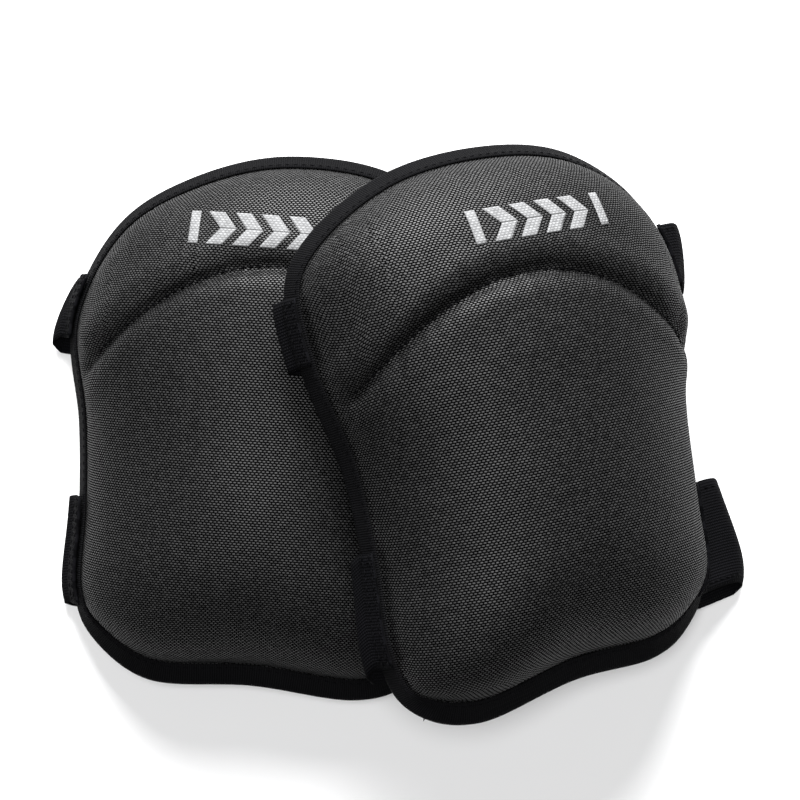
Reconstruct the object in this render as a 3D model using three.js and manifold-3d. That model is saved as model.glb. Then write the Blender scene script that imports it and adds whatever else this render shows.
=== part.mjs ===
// A pair of soft knee pads lying on their rims with the padded faces up, the front pad leaning
// on the rear one.
// Millimetres. +X is across the pads, +Y towards the thigh end, +Z up from the floor.
import * as THREE from "three";
import { mergeVertices } from "three/addons/utils/BufferGeometryUtils.js";
import Module from "manifold-3d";

const wasm = await Module();
wasm.setup();

// One pad, in its own frame: x across, y along (0 at the middle), z out from the rim plane.
const PAD_LENGTH = 246;
// Half outlines from the thigh end to the shin end: inner towards the other knee, outer away from
// it. The pads are soft, so how each one lies bends its rim a little. From the third point to the
// seventh both halves have the same y, so that they meet along the crown line.
const REAR_SIDES = {
  inner: [
    [0, 124],
    [50, 118],
    [84, 86],
    [97, 42],
    [87, -5],
    [83, -45],
    [84, -83],
    [74, -111],
    [48, -122],
    [0, -119],
  ],
  outer: [
    [0, 124],
    [44, 111.5],
    [79, 86],
    [97, 42],
    [90, -5],
    [86.8, -45],
    [86, -83],
    [75, -104],
    [47, -120],
    [0, -119],
  ],
};
const FRONT_SIDES = {
  inner: [
    [0, 124],
    [50, 115.5],
    [90.5, 86],
    [93.5, 42],
    [84, -5],
    [82.5, -45],
    [84, -83],
    [76, -111],
    [48, -121.5],
    [0, -114],
  ],
  outer: [
    [0, 124],
    [47, 116],
    [83, 86],
    [94, 42],
    [86, -5],
    [82, -45],
    [79, -83],
    [64, -103],
    [40, -113.5],
    [0, -114],
  ],
};
const SAMPLES_PER_SPAN = 3;
const SPINE = [-45, 42]; // y range of the crown line, where both sides share their heights
const CROWN_HEIGHT = 60;
const RIM_HEIGHT = 5.2; // of the sides, which leaves room for the straps under them
const THIGH_RISE = 10; // how much higher the rim is at the two ends
const SHIN_RISE = 14;
const BINDING_WIDTH = 9.5;
const SIDE_SLOPE = 64; // degrees, of the bound edge at the sides, thigh end and shin end
const THIGH_SLOPE = 50;
const SHIN_SLOPE = 10;
const RINGS = 6; // between the bound edge and the crown line
const RING_POWER = 1.5;
const SHELL_POWER = 2.4;
const SHELL_ROUND = 0.6;

// Layers, measured inwards from the outer face.
const GAP = 0.3;
const COVER = 1.6;
const LINING = 1.2;
const EDGE_STACK = COVER + GAP + LINING;
const FULL_STACK = 22;
const STACK_POWER = 4;
const BINDING_TAPE = 0.8;

// The arched seam between the thigh panel and the knee panel: the height of its middle, where
// that lies across the pad, and how far it has dropped at ARCH_HALF from there.
const REAR_SEAM = { top: 71, drop: 53, middle: 0 };
const FRONT_SEAM = { top: 64.5, drop: 48.5, middle: -2.6 };
const ARCH_HALF = 88;
const ARCH_GAP = 2.4;
const ARCH_SPAN = 110; // half-width of the cutting prisms
const ARCH_STEPS = 16; // straight cuts along the arch
const THREAD_RADIUS = 0.6;
const THREAD_RISE = 0.2;
const THREAD_REACH = 82; // the seam's thread ends at x = +-82, short of the bound edge
const THREAD_POINTS = 12;
const THREAD_STEPS = 28;
const THREAD_SIDES = 6;

// The woven label on the thigh panel; x is towards the away side.
const LABEL = { x: 8.5, y: 86, width: 69, height: 16, rise: 0.9, thick: 0.5 };
const LABEL_CELLS = [12, 3]; // facets along and across

// Straps: webbing, its closure and the hinge line of the movable end.
const WEB = 1.6;
const HINGE_X = 74;
const TAIL_END_X = 14;
const TAB_END_X = 45;
const TAIL_LIFT = 0.3;
const PATCH = 0.8;
const PATCH_LENGTH = 34;
const PATCH_MARGIN = 3;
const FOLD_HEIGHT = 7;
const FOLD_DEPTH = 4; // from the fold's outermost line back to where it has turned
const FOLD_CREST = 3.9; // height of that outermost line
const FOLD_SHIFTS = [0.3, 0.7]; // shares of the way to the closure's y at the crest and under it
const SEWN_FROM = [0.06, 0.72]; // where the webbing lies on the bound edge, from its inner side
const STATIONS = 3; // per span of a strap's fold
const ACROSS = 5; // facets across a strap
const SIDE_CLEAR = 1.6; // between the webbing and the bound edge it is sewn over

// Each strap: y at the left and right rim and at the closure, its width, and how far its
// folds stand out beyond the rim at the strap's thigh-side and shin-side edges.
const REAR_STRAPS = {
  upper: { left: 48, right: 48, closed: 38, width: 30, out: [[6, 9.5], [6, 7]] },
  lower: { left: -64.5, right: -64, closed: -68, width: 50, out: [[6, 7], [11, 14]] },
};
const FRONT_STRAPS = {
  upper: { left: 57, right: 62.5, closed: 54, width: 30, out: [[6, 6], [16.2, 6.5]] },
  lower: { left: -66, right: -67.5, closed: -76, width: 50, out: [[6, 8], [16, 26.5]] },
};

// Where each pad lies: turn about +Z, then lean about its own long axis. away is the sign of x
// on the side away from the other knee.
const PADS = {
  rear: {
    away: -1,
    turn: -4.5,
    lean: 0,
    at: [-57, 1.2, 0],
    sides: REAR_SIDES,
    seam: REAR_SEAM,
    straps: REAR_STRAPS,
  },
  front: {
    away: 1,
    turn: 11,
    lean: 22,
    at: [51, 1.2, 37.4],
    sides: FRONT_SIDES,
    seam: FRONT_SEAM,
    straps: FRONT_STRAPS,
  },
};

const FABRIC = { color: 0x2a2a2c, roughness: 0.9 };
const FOAM = { color: 0x4a4a4d, roughness: 1 };
const LINER = { color: 0x1c1c1e, roughness: 0.95 };
const TAPE = { color: 0x141417, roughness: 0.8 };
const WEBBING = { color: 0x17171b, roughness: 0.75 };
const HOOKS = { color: 0x101012, roughness: 0.5 };
const LOOPS = { color: 0x202024, roughness: 1 };
const THREAD = { color: 0x0d0d10, roughness: 0.6 };
const PRINT = { color: 0xb9bcbe, roughness: 0.7 };

const radians = THREE.MathUtils.degToRad;
const vec = (x, y, z) => new THREE.Vector3(x, y, z);
const mix = (a, b, t) => a + (b - a) * t;

// ---- Closed solids from grids -------------------------------------------------------------

// Joins coincident vertices and drops the faces that collapse with them.
function closed(positions, indices) {
  const raw = new THREE.BufferGeometry();
  raw.setAttribute("position", new THREE.Float32BufferAttribute(positions, 3));
  raw.setIndex(indices);
  const joined = mergeVertices(raw, 1e-3);
  const faces = [];
  const index = joined.index.array;
  for (let i = 0; i < index.length; i += 3) {
    const [a, b, c] = [index[i], index[i + 1], index[i + 2]];
    if (a !== b && b !== c && c !== a) faces.push(a, b, c);
  }
  joined.setIndex(faces);
  return joined;
}

function solid(geometry) {
  const bare = geometry.clone();
  bare.deleteAttribute("normal");
  bare.deleteAttribute("uv");
  const merged = mergeVertices(bare, 1e-3);
  return new wasm.Manifold(
    new wasm.Mesh({
      numProp: 3,
      vertProperties: new Float32Array(merged.attributes.position.array),
      triVerts: new Uint32Array(merged.index.array),
    }),
  );
}

function geometryOf(manifold) {
  const mesh = manifold.getMesh();
  const geometry = new THREE.BufferGeometry();
  geometry.setAttribute("position", new THREE.BufferAttribute(mesh.vertProperties, 3));
  geometry.setIndex(new THREE.BufferAttribute(mesh.triVerts, 1));
  return geometry;
}

// A tube of quads: loops[i][j] is point j of cross-section i. The ends of one that doesn't wrap
// are closed with quads between the first half of the cross-section and the second. One that does
// splits its second half the other way, so that both sides match the layers they fold over.
function tube(loops, wrap) {
  const size = loops[0].length;
  const positions = loops.flat().flatMap((p) => [p.x, p.y, p.z]);
  const indices = [];
  const quad = (a, b, c, d) => indices.push(a, b, c, a, c, d);
  const split = (j) => wrap && j >= size / 2;
  const last = wrap ? loops.length : loops.length - 1;
  for (let i = 0; i < last; i++) {
    const here = i * size;
    const next = ((i + 1) % loops.length) * size;
    for (let j = 0; j < size; j++) {
      const k = (j + 1) % size;
      const corners = [here + j, next + j, next + k, here + k];
      if (split(j)) corners.push(corners.shift());
      quad(...corners);
    }
  }
  if (!wrap) {
    const end = (loops.length - 1) * size;
    for (let j = 0; j < size / 2 - 1; j++) {
      const k = size - 1 - j;
      quad(j, j + 1, k - 1, k);
      quad(end + k, end + k - 1, end + j + 1, end + j);
    }
  }
  return closed(positions, indices);
}

// ---- The padded shell ---------------------------------------------------------------------

function outline(away, { inner, outer }) {
  const [right, left] = away > 0 ? [outer, inner] : [inner, outer];
  const points = [
    ...right.map(([x, y]) => vec(x, y, 0)),
    ...left.slice(1, -1).reverse().map(([x, y]) => vec(-x, y, 0)),
  ];
  const curve = new THREE.CatmullRomCurve3(points, true, "catmullrom", 0.5);
  const count = points.length * SAMPLES_PER_SPAN;
  return Array.from({ length: count }, (_, i) => curve.getPoint(i / count));
}

// The outer face as rings of points: rim, inner side of the bound edge, then up to the crown line.
function outerFace(away, sides) {
  const points = outline(away, sides);
  const count = points.length;
  const rings = Array.from({ length: RINGS + 2 }, () => []);
  points.forEach((p, i) => {
    const along = points[(i + 1) % count].clone().sub(points[(i + count - 1) % count]);
    const outward = vec(-along.y, along.x, 0).normalize();
    const end = outward.y ** 2;
    const atThigh = outward.y > 0;
    const slope = radians(mix(SIDE_SLOPE, atThigh ? THIGH_SLOPE : SHIN_SLOPE, end));
    const rim = vec(p.x, p.y, RIM_HEIGHT + (atThigh ? THIGH_RISE : SHIN_RISE) * end);
    const edge = rim.clone().addScaledVector(outward, -BINDING_WIDTH * Math.cos(slope));
    edge.z += BINDING_WIDTH * Math.sin(slope);
    const spineY = THREE.MathUtils.clamp(p.y, SPINE[0], SPINE[1]);
    const top = vec(0, spineY, CROWN_HEIGHT);
    rings[0].push(rim);
    rings[1].push(edge);
    for (let k = 1; k < RINGS; k++) {
      const s = (k / RINGS) ** RING_POWER;
      const rise = (1 - (1 - s) ** SHELL_POWER) ** SHELL_ROUND;
      const q = edge.clone().lerp(top, s);
      q.z = mix(edge.z, CROWN_HEIGHT, rise);
      rings[k + 1].push(q);
    }
    rings[RINGS + 1].push(top);
  });
  return rings;
}

// Directions into the pad, square to the outer face.
function inwardNormals(rings) {
  const count = rings[0].length;
  const last = rings.length - 1;
  return rings.map((ring, k) =>
    ring.map((p, i) => {
      if (k === last) return vec(0, 0, -1);
      const around = ring[(i + 1) % count].clone().sub(ring[(i + count - 1) % count]);
      const upTo = rings[k + 1][i];
      const from = k === 0 ? p : rings[k - 1][i];
      return around.cross(upTo.clone().sub(from)).normalize();
    }),
  );
}

function shellOf(away, sides) {
  const rings = outerFace(away, sides);
  return { rings, inward: inwardNormals(rings), away };
}

// Thickness of all the layers together at ring k.
function stack(k) {
  if (k < 2) return EDGE_STACK;
  const s = ((k - 1) / RINGS) ** RING_POWER;
  return mix(EDGE_STACK, FULL_STACK, 1 - (1 - s) ** STACK_POWER);
}

// One layer between two depths below the outer face, from ring `first` to the crown line.
// Both skins split their quads the same way, so that layers stay the same distance apart.
function layer(shell, first, outerDepth, innerDepth) {
  const shift = (depth) => (k) =>
    shell.rings[k].map((p, i) => p.clone().addScaledVector(shell.inward[k][i], depth(k)));
  const rings = shell.rings.map((_, k) => k).slice(first);
  const skins = [...rings.map(shift(outerDepth)).reverse(), ...rings.map(shift(innerDepth))];
  const count = skins[0].length;
  const positions = skins.flat().flatMap((p) => [p.x, p.y, p.z]);
  const indices = [];
  for (let k = 0; k + 1 < skins.length; k++) {
    for (let i = 0; i < count; i++) {
      const j = (i + 1) % count;
      const [a, b] = [k * count + i, k * count + j];
      const [c, d] = [a + count, b + count];
      if (k < rings.length) indices.push(a, b, d, a, d, c);
      else indices.push(a, b, c, b, d, c);
    }
  }
  return closed(positions, indices);
}

const cover = (shell) => layer(shell, 0, () => 0, () => COVER);
const lining = (shell) => layer(shell, 0, (k) => stack(k) - LINING, stack);
const foam = (shell) => layer(shell, 2, () => COVER + GAP, (k) => stack(k) - LINING - GAP);

// The folded tape round the edge, in a U over the cover and the lining.
function binding({ rings, inward }) {
  const low = -GAP - BINDING_TAPE;
  const high = EDGE_STACK + GAP;
  const tip = BINDING_WIDTH - 2 * GAP;
  const profile = [
    [low, low],
    [tip, low],
    [tip, -GAP],
    [-GAP, -GAP],
    [-GAP, high],
    [tip, high],
    [tip, high + BINDING_TAPE],
    [low, high + BINDING_TAPE],
  ];
  const loops = rings[0].map((rim, i) => {
    const across = rings[1][i].clone().sub(rim).normalize();
    const at = ([a, depth]) =>
      rim.clone().addScaledVector(across, a).addScaledVector(inward[0][i], depth);
    return profile.map(at).reverse();
  });
  return tube(loops, true);
}

// ---- The arched seam ----------------------------------------------------------------------

const archY = ({ top, drop, middle }, x) => top - drop * ((x - middle) / ARCH_HALF) ** 2;

// A prism that holds everything on one side of the arch (side = 1 thigh, -1 knee).
function archSide(seam, side) {
  const edge = Array.from({ length: ARCH_STEPS + 1 }, (_, i) => {
    const x = mix(-ARCH_SPAN, ARCH_SPAN, i / ARCH_STEPS);
    return new THREE.Vector2(x, archY(seam, x) + (side * ARCH_GAP) / 2);
  });
  const far = side * PAD_LENGTH;
  const shape = new THREE.Shape([
    ...edge,
    new THREE.Vector2(ARCH_SPAN, far),
    new THREE.Vector2(-ARCH_SPAN, far),
  ]);
  const prism = new THREE.ExtrudeGeometry(shape, { depth: 3 * CROWN_HEIGHT, bevelEnabled: false });
  return solid(prism.translate(0, 0, -CROWN_HEIGHT));
}

const panel = (body, seam, side) => geometryOf(solid(body).intersect(archSide(seam, side)));

// The height of the outer face at a point, found by dropping a ray on it.
function heightsOn(shell) {
  const face = new THREE.Mesh(cover(shell));
  const ray = new THREE.Raycaster();
  return (x, y) => {
    ray.set(vec(x, y, 2 * CROWN_HEIGHT), vec(0, 0, -1));
    return ray.intersectObject(face)[0].point.z;
  };
}

function archThread(topAt, seam) {
  const points = Array.from({ length: THREAD_POINTS + 1 }, (_, i) => {
    const x = mix(-THREAD_REACH, THREAD_REACH, i / THREAD_POINTS);
    const y = archY(seam, x);
    return vec(x, y, topAt(x, y) + THREAD_RISE);
  });
  const circle = new THREE.Shape().absarc(0, 0, THREAD_RADIUS, 0, 2 * Math.PI);
  return new THREE.ExtrudeGeometry(circle, {
    steps: THREAD_STEPS,
    curveSegments: THREAD_SIDES,
    bevelEnabled: false,
    extrudePath: new THREE.CatmullRomCurve3(points),
  });
}

function label(topAt, away) {
  const { x, y, width, height, rise, thick } = LABEL;
  const box = new THREE.BoxGeometry(width, height, thick, ...LABEL_CELLS, 1);
  const p = box.attributes.position;
  for (let i = 0; i < p.count; i++) {
    const px = p.getX(i) + x * away;
    const py = p.getY(i) + y;
    p.setXYZ(i, px, py, topAt(px, py) + rise + thick / 2 + p.getZ(i));
  }
  box.deleteAttribute("normal");
  box.deleteAttribute("uv");
  return mergeVertices(box, 1e-3);
}

// ---- Straps -------------------------------------------------------------------------------

// The bound edge's outer corner points in the section at height y, on the side of sign.
function rimSection(shell, sign, y) {
  const find = (ring) => {
    let best = null;
    ring.forEach((p, i) => {
      const q = ring[(i + 1) % ring.length];
      if (p.x * sign <= 0 || (p.y - y) * (q.y - y) > 0 || p.y === q.y) return;
      best = p.clone().lerp(q, (y - p.y) / (q.y - p.y));
    });
    return best;
  };
  return [find(shell.rings[0]), find(shell.rings[1])];
}

// One lengthwise line of a strap's middle: from the bound edge, out round the fold, then `rest`.
function strapLine(shell, sign, sewnY, foldOut, rest, restY) {
  const [rim, inner] = rimSection(shell, sign, sewnY);
  const lift = BINDING_TAPE + GAP + SIDE_CLEAR + WEB / 2;
  const out = inner.clone().sub(rim);
  const face = vec(out.z * sign, 0, -out.x * sign).normalize().multiplyScalar(lift);
  const reach = Math.abs(rim.x) + foldOut;
  const corners = [
    ...SEWN_FROM.map((share) => inner.clone().lerp(rim, share).add(face)),
    vec(sign * (reach - FOLD_DEPTH), sewnY, FOLD_HEIGHT),
    vec(sign * (reach - WEB / 2), mix(sewnY, restY, FOLD_SHIFTS[0]), FOLD_CREST),
    vec(sign * (reach - FOLD_DEPTH), mix(sewnY, restY, FOLD_SHIFTS[1]), WEB / 2),
  ];
  const bend = new THREE.CatmullRomCurve3(corners, false, "centripetal");
  const points = bend.getPoints((corners.length - 1) * STATIONS);
  return [...points, ...rest.map(([x, z]) => vec(x, restY, z))];
}

// Webbing through lengthwise lines laid side by side from the thigh side to the shin side.
function ribbon(lines, thick) {
  const last = lines[0].length - 1;
  const loops = lines[0].map((_, i) => {
    const rows = lines.map((line) => {
      const along = line[Math.min(i + 1, last)].clone().sub(line[Math.max(i - 1, 0)]);
      const across = lines[0][i].clone().sub(lines.at(-1)[i]);
      return along.cross(across).normalize().multiplyScalar(thick / 2);
    });
    const above = lines.map((line, n) => line[i].clone().add(rows[n]));
    const below = lines.map((line, n) => line[i].clone().sub(rows[n]));
    return [...above.reverse(), ...below];
  });
  return tube(loops, false);
}

// A strap end: folds holds how far the fold stands out at the thigh side and the shin side.
function strapEnd(shell, sign, strap, sewnY, folds, rest) {
  const lines = Array.from({ length: ACROSS + 1 }, (_, n) => {
    const side = n / ACROSS;
    const shift = (0.5 - side) * strap.width;
    const out = mix(...folds, side);
    return strapLine(shell, sign, sewnY + shift, out, rest, strap.closed + shift);
  });
  return ribbon(lines, WEB);
}

const TAB_Z = WEB / 2;
const TAIL_Z = TAIL_LIFT + WEB / 2;
const TAB_OVER_Z = TAIL_LIFT + WEB + 2 * PATCH + 3 * GAP + WEB / 2;
const TAB_LINE = [
  [-66, TAB_Z],
  [-30, TAB_Z],
  [-12, TAB_Z],
  [0, TAB_OVER_Z],
  [TAB_END_X, TAB_OVER_Z],
]; // x and z along the tab under the pad, stepping up over the tail at the closure

// The left end: sewn to the left rim and carried across to the closure.
function tab(shell, strap) {
  return strapEnd(shell, -1, strap, strap.left, strap.out[0], TAB_LINE);
}

// The right end: sewn to the right rim, folded under it and stopping at the hinge line.
function root(shell, strap) {
  const rest = [[HINGE_X + GAP / 2, WEB / 2]];
  return strapEnd(shell, 1, strap, strap.right, strap.out[1], rest);
}

function flatPiece(x0, x1, y, width, z, thick) {
  return new THREE.BoxGeometry(x1 - x0, width, thick).translate((x0 + x1) / 2, y, z);
}

function tail(strap) {
  return flatPiece(TAIL_END_X, HINGE_X - GAP / 2, strap.closed, strap.width, TAIL_Z, WEB);
}

function hookPatch(strap) {
  const z = TAIL_LIFT + WEB + GAP + PATCH / 2;
  const x0 = TAIL_END_X + PATCH_MARGIN;
  const width = strap.width - 2 * PATCH_MARGIN;
  return flatPiece(x0, x0 + PATCH_LENGTH, strap.closed, width, z, PATCH);
}

function loopPatch(strap) {
  const z = TAB_OVER_Z - WEB / 2 - GAP - PATCH / 2;
  const x1 = TAB_END_X - PATCH_MARGIN / 2;
  const width = strap.width - 2 * PATCH_MARGIN;
  return flatPiece(x1 - PATCH_LENGTH, x1, strap.closed, width, z, PATCH);
}

// ---- Assembly -----------------------------------------------------------------------------

function add(group, name, geometry, look) {
  const bare = geometry.clone();
  bare.computeVertexNormals();
  const material = new THREE.MeshStandardMaterial({ ...look, metalness: 0 });
  material.flatShading = true;
  const mesh = new THREE.Mesh(bare, material);
  mesh.name = name;
  group.add(mesh);
}

function pad(name, { away, turn, lean, at, sides, seam, straps }) {
  const shell = shellOf(away, sides);
  const topAt = heightsOn(shell);
  const group = new THREE.Group();
  group.name = name + "_pad";
  group.position.set(...at);
  group.rotation.set(0, radians(lean), radians(turn), "ZYX");
  add(group, name + "_thigh_panel", panel(cover(shell), seam, 1), FABRIC);
  add(group, name + "_knee_panel", panel(cover(shell), seam, -1), FABRIC);
  add(group, name + "_thigh_foam", panel(foam(shell), seam, 1), FOAM);
  add(group, name + "_knee_foam", panel(foam(shell), seam, -1), FOAM);
  add(group, name + "_inner_lining", lining(shell), LINER);
  add(group, name + "_edge_binding", binding(shell), TAPE);
  add(group, name + "_arch_thread", archThread(topAt, seam), THREAD);
  add(group, name + "_label", label(topAt, away), PRINT);
  for (const [level, strap] of Object.entries(straps)) {
    const part = (kind) => name + "_" + level + "_" + kind;
    add(group, part("strap_root"), root(shell, strap), WEBBING);
    add(group, part("strap_tab"), tab(shell, strap), WEBBING);
    add(group, part("strap_tail"), tail(strap), WEBBING);
    add(group, part("hook_patch"), hookPatch(strap), HOOKS);
    add(group, part("loop_patch"), loopPatch(strap), LOOPS);
  }
  return group;
}

const pair = new THREE.Group();
pair.name = "knee_pads";
for (const [name, layout] of Object.entries(PADS)) pair.add(pad(name, layout));

export default pair;
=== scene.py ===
"""A pair of black padded fabric knee pads, the front one leaning on the rear one.

The scene is in metres, +Z up. Lengths in the constants and in a pad's own frame are millimetres.
"""

import math

import bpy
import numpy as np
from mathutils import Matrix, Vector
from mathutils.bvhtree import BVHTree


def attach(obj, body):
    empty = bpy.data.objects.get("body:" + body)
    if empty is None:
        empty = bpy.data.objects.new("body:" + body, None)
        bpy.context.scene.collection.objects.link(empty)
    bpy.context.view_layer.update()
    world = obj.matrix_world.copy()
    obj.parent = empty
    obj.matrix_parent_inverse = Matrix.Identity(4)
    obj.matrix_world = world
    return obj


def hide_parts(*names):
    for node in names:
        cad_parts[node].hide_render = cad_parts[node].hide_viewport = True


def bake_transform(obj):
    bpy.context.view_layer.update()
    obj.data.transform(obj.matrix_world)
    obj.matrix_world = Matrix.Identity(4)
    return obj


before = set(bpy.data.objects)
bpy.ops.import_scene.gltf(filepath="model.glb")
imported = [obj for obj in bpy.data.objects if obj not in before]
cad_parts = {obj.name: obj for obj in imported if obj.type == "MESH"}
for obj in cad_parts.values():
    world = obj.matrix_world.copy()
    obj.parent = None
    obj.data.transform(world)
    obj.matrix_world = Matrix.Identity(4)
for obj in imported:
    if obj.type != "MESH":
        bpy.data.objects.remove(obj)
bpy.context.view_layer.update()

MM = 0.001
TAU = 2 * math.pi

# ---- The pads' driving dimensions, the same as in the CAD model ---------------------------
# Half outlines from the thigh end to the shin end, towards the other knee and away from it.
REAR_SIDES = {
    "inner": [
        [0, 124], [50, 118], [84, 86], [97, 42], [87, -5],
        [83, -45], [84, -83], [74, -111], [48, -122], [0, -119],
    ],
    "outer": [
        [0, 124], [44, 111.5], [79, 86], [97, 42], [90, -5],
        [86.8, -45], [86, -83], [75, -104], [47, -120], [0, -119],
    ],
}
FRONT_SIDES = {
    "inner": [
        [0, 124], [50, 115.5], [90.5, 86], [93.5, 42], [84, -5],
        [82.5, -45], [84, -83], [76, -111], [48, -121.5], [0, -114],
    ],
    "outer": [
        [0, 124], [47, 116], [83, 86], [94, 42], [86, -5],
        [82, -45], [79, -83], [64, -103], [40, -113.5], [0, -114],
    ],
}
SPINE = (-45, 42)  # y range of the crown line
CROWN_HEIGHT = 60
RIM_HEIGHT, THIGH_RISE, SHIN_RISE = 5.2, 10, 14
BINDING_WIDTH = 9.5
SIDE_SLOPE, THIGH_SLOPE, SHIN_SLOPE = 64, 50, 10  # degrees, of the bound edge
SHELL_POWER, SHELL_ROUND = 2.4, 0.6
RING_POWER = 1.5
GAP, COVER, LINING = 0.3, 1.6, 1.2
EDGE_STACK, FULL_STACK, STACK_POWER = COVER + GAP + LINING, 22, 4
BINDING_TAPE = 0.8
ARCH_HALF = 88
LABEL_AT = (8.5, 86)
WEB = 1.6
HINGE_X, TAIL_END_X, TAB_END_X = 74, 14, 45
TAIL_LIFT, PATCH, PATCH_LENGTH, PATCH_MARGIN = 0.3, 0.8, 34, 3
FOLD_HEIGHT, FOLD_CREST, FOLD_DEPTH, SIDE_CLEAR = 7, 3.9, 4, 1.6
FOLD_SHIFTS = (0.3, 0.7)  # shares of the way to the closure's y, at the fold's crest and under it
SEWN_FROM = (0.06, 0.72)  # where the webbing lies on the bound edge, from its inner side
TAB_Z = WEB / 2
TAIL_Z = TAIL_LIFT + WEB / 2
TAB_OVER_Z = TAIL_LIFT + WEB + 2 * PATCH + 3 * GAP + WEB / 2
# Each strap has its y at the left rim, the right rim and the closure, its width, and how far its
# folds stand out beyond the rim at the strap's thigh side and shin side, left fold first.
PADS = {
    "rear": {
        "away": -1, "turn": -4.5, "lean": 0, "at": (-57, 1.2, 0),
        "sides": REAR_SIDES, "seam": {"top": 71, "drop": 53, "middle": 0},
        "straps": {
            "upper": {"left": 48, "right": 48, "closed": 38, "width": 30, "out": ((6, 9.5), (6, 7))},
            "lower": {"left": -64.5, "right": -64, "closed": -68, "width": 50, "out": ((6, 7), (11, 14))},
        },
    },
    "front": {
        "away": 1, "turn": 11, "lean": 22, "at": (51, 1.2, 37.4),
        "sides": FRONT_SIDES, "seam": {"top": 64.5, "drop": 48.5, "middle": -2.6},
        "straps": {
            "upper": {"left": 57, "right": 62.5, "closed": 54, "width": 30, "out": ((6, 6), (16.2, 6.5))},
            "lower": {"left": -66, "right": -67.5, "closed": -76, "width": 50, "out": ((6, 8), (16, 26.5))},
        },
    },
}

# ---- Fabric details -----------------------------------------------------------------------
ROW_PITCH, FLOAT_PITCH, FLOAT_HALF = 1.12, 1.86, (0.42, 0.37)  # the cover's weave
WEB_RIB = 1.3
SEAM_REACH = 80  # the seam's stitches end at x = +-80
SEAM_THREAD, EDGE_THREAD = 0.42, 0.3  # radii
BINDING_TIP = BINDING_WIDTH - 0.4  # how far in from the rim the tape's edges are
STITCH_INSET = 1.8  # of the binding's stitches from the tape's edge
SCALLOP_PITCH = 7.6
PRINT_HALF, PRINT_RISE, PRINT_SINK = 7.6, 0.26, 0.02
PRINT_BARS, BAR_WIDTH = (-33.0, 28.6), 4.4
PRINT_CHEVRONS, CHEVRON_WIDTH, CHEVRON_POINT = (-25.0, -13.0, -1.0, 11.0), 7.4, 6.0

# ---- How finely the fabric is made --------------------------------------------------------
CELLS_ACROSS, CELLS_ALONG = 64, 92
EDGE_RINGS = 4
CORNERS = (1.4, 7.2, 10.8, 16.6)  # the outline's corners, in control points from the thigh end
DENSE = 1440  # points round the outline
TANGENT_SPAN = 54  # a tangent is taken over a 54th of the outline's points each way
BINDING_ROWS = 480
FOLD_STEPS = 8  # of the binding's round fold
PRINT_CELLS = (9, 7)
STRAP_CELLS = 14
STRAP_STEPS = (10, 14)  # for each span of the fold and of the flat run
PATCH_CELLS = (15, 25)
FROM_ABOVE = 200  # height that rays are cast down from
CLOTH_STEP = 2  # spacing of the grid that cloth lengths are summed over
CUSHION_SEED, BINDING_SEED, SEEDS_PER_PAD = 11, 31, 40

# ---- The cloth simulation -----------------------------------------------------------------
SIM_SCALE = 0.01  # scene units per mm
SIM_FRAMES = 20
SIM_PRESSURE = 16.0
SIM_MASS = 0.02
SIM_SLACK = 0.12  # spare cloth beside the seam
START_INSET = 1.0
START_UNEVEN = 0.12
HELD_BY_SEAM = 1.6
PUFF_CAP = 5.0

# ---- Lights and camera, in metres and watts -----------------------------------------------
FLOOR_HALF, FLOOR_DROP = 4, 0.0002
KEY = {"at": (0.0, 2.5, 1.25), "to": (0, 0, 0.03), "size": 1.5, "power": 294}
FILL = {"at": (-0.15, 0.1, 2.4), "to": (0, 0, 0), "size": 1.1, "power": 48}
WORLD_STRENGTH = 0.077
CAMERA_AT = (0.002, 0.013, 0.9)
SENSOR, LENS = 36, 86.2  # mm


# ---- Meshes -------------------------------------------------------------------------------
def placed(pad):
    """From a pad's own frame to the scene."""
    spec = PADS[pad]
    turn = Matrix.Rotation(math.radians(spec["turn"]), 4, "Z")
    lean = Matrix.Rotation(math.radians(spec["lean"]), 4, "Y")
    return Matrix.Translation(Vector(spec["at"]) * MM) @ turn @ lean @ Matrix.Scale(MM, 4)


def linked(name, data):
    obj = bpy.data.objects.new(name, data)
    bpy.context.scene.collection.objects.link(obj)
    return obj


def piece(name, pad, points, faces, material, uvs):
    """A mesh object from points in a pad's own frame, with one (u, v) in mm for each face corner.

    Nothing reaches below the surface that the pads lie on.
    """
    mesh = bpy.data.meshes.new(name)
    vertices = [tuple(p) for p in np.asarray(points, float)]
    mesh.from_pydata(vertices, [], [tuple(int(i) for i in f) for f in faces])
    mesh.transform(placed(pad))
    for vertex in mesh.vertices:
        vertex.co.z = max(vertex.co.z, 0.0)
    layer = mesh.uv_layers.new(name="cloth_mm")
    layer.data.foreach_set("uv", np.asarray(uvs, float).ravel())
    mesh.polygons.foreach_set("use_smooth", [True] * len(mesh.polygons))
    mesh.materials.append(material)
    obj = linked(name, mesh)
    return obj


def grid_quads(rows, columns, wrap_rows=False, wrap_columns=False, flip=False):
    """Quads over a grid of points numbered row by row, and each corner's (row, column) before wrapping."""
    quads, corners = [], []
    for r in range(rows if wrap_rows else rows - 1):
        for c in range(columns if wrap_columns else columns - 1):
            square = [(r, c), (r, c + 1), (r + 1, c + 1), (r + 1, c)]
            if flip:
                square.reverse()
            quads.append([(a % rows) * columns + b % columns for a, b in square])
            corners.extend(square)
    return quads, np.array(corners)


def border_pairs(rows, columns):
    """Each two neighbours along the outermost points of such a grid, in order around it."""
    ring = [(0, c) for c in range(columns)] + [(r, columns - 1) for r in range(1, rows)]
    ring += [(rows - 1, c) for c in range(columns - 2, -1, -1)] + [(r, 0) for r in range(rows - 2, 0, -1)]
    index = [r * columns + c for r, c in ring]
    return list(zip(index, index[1:] + index[:1]))


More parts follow.
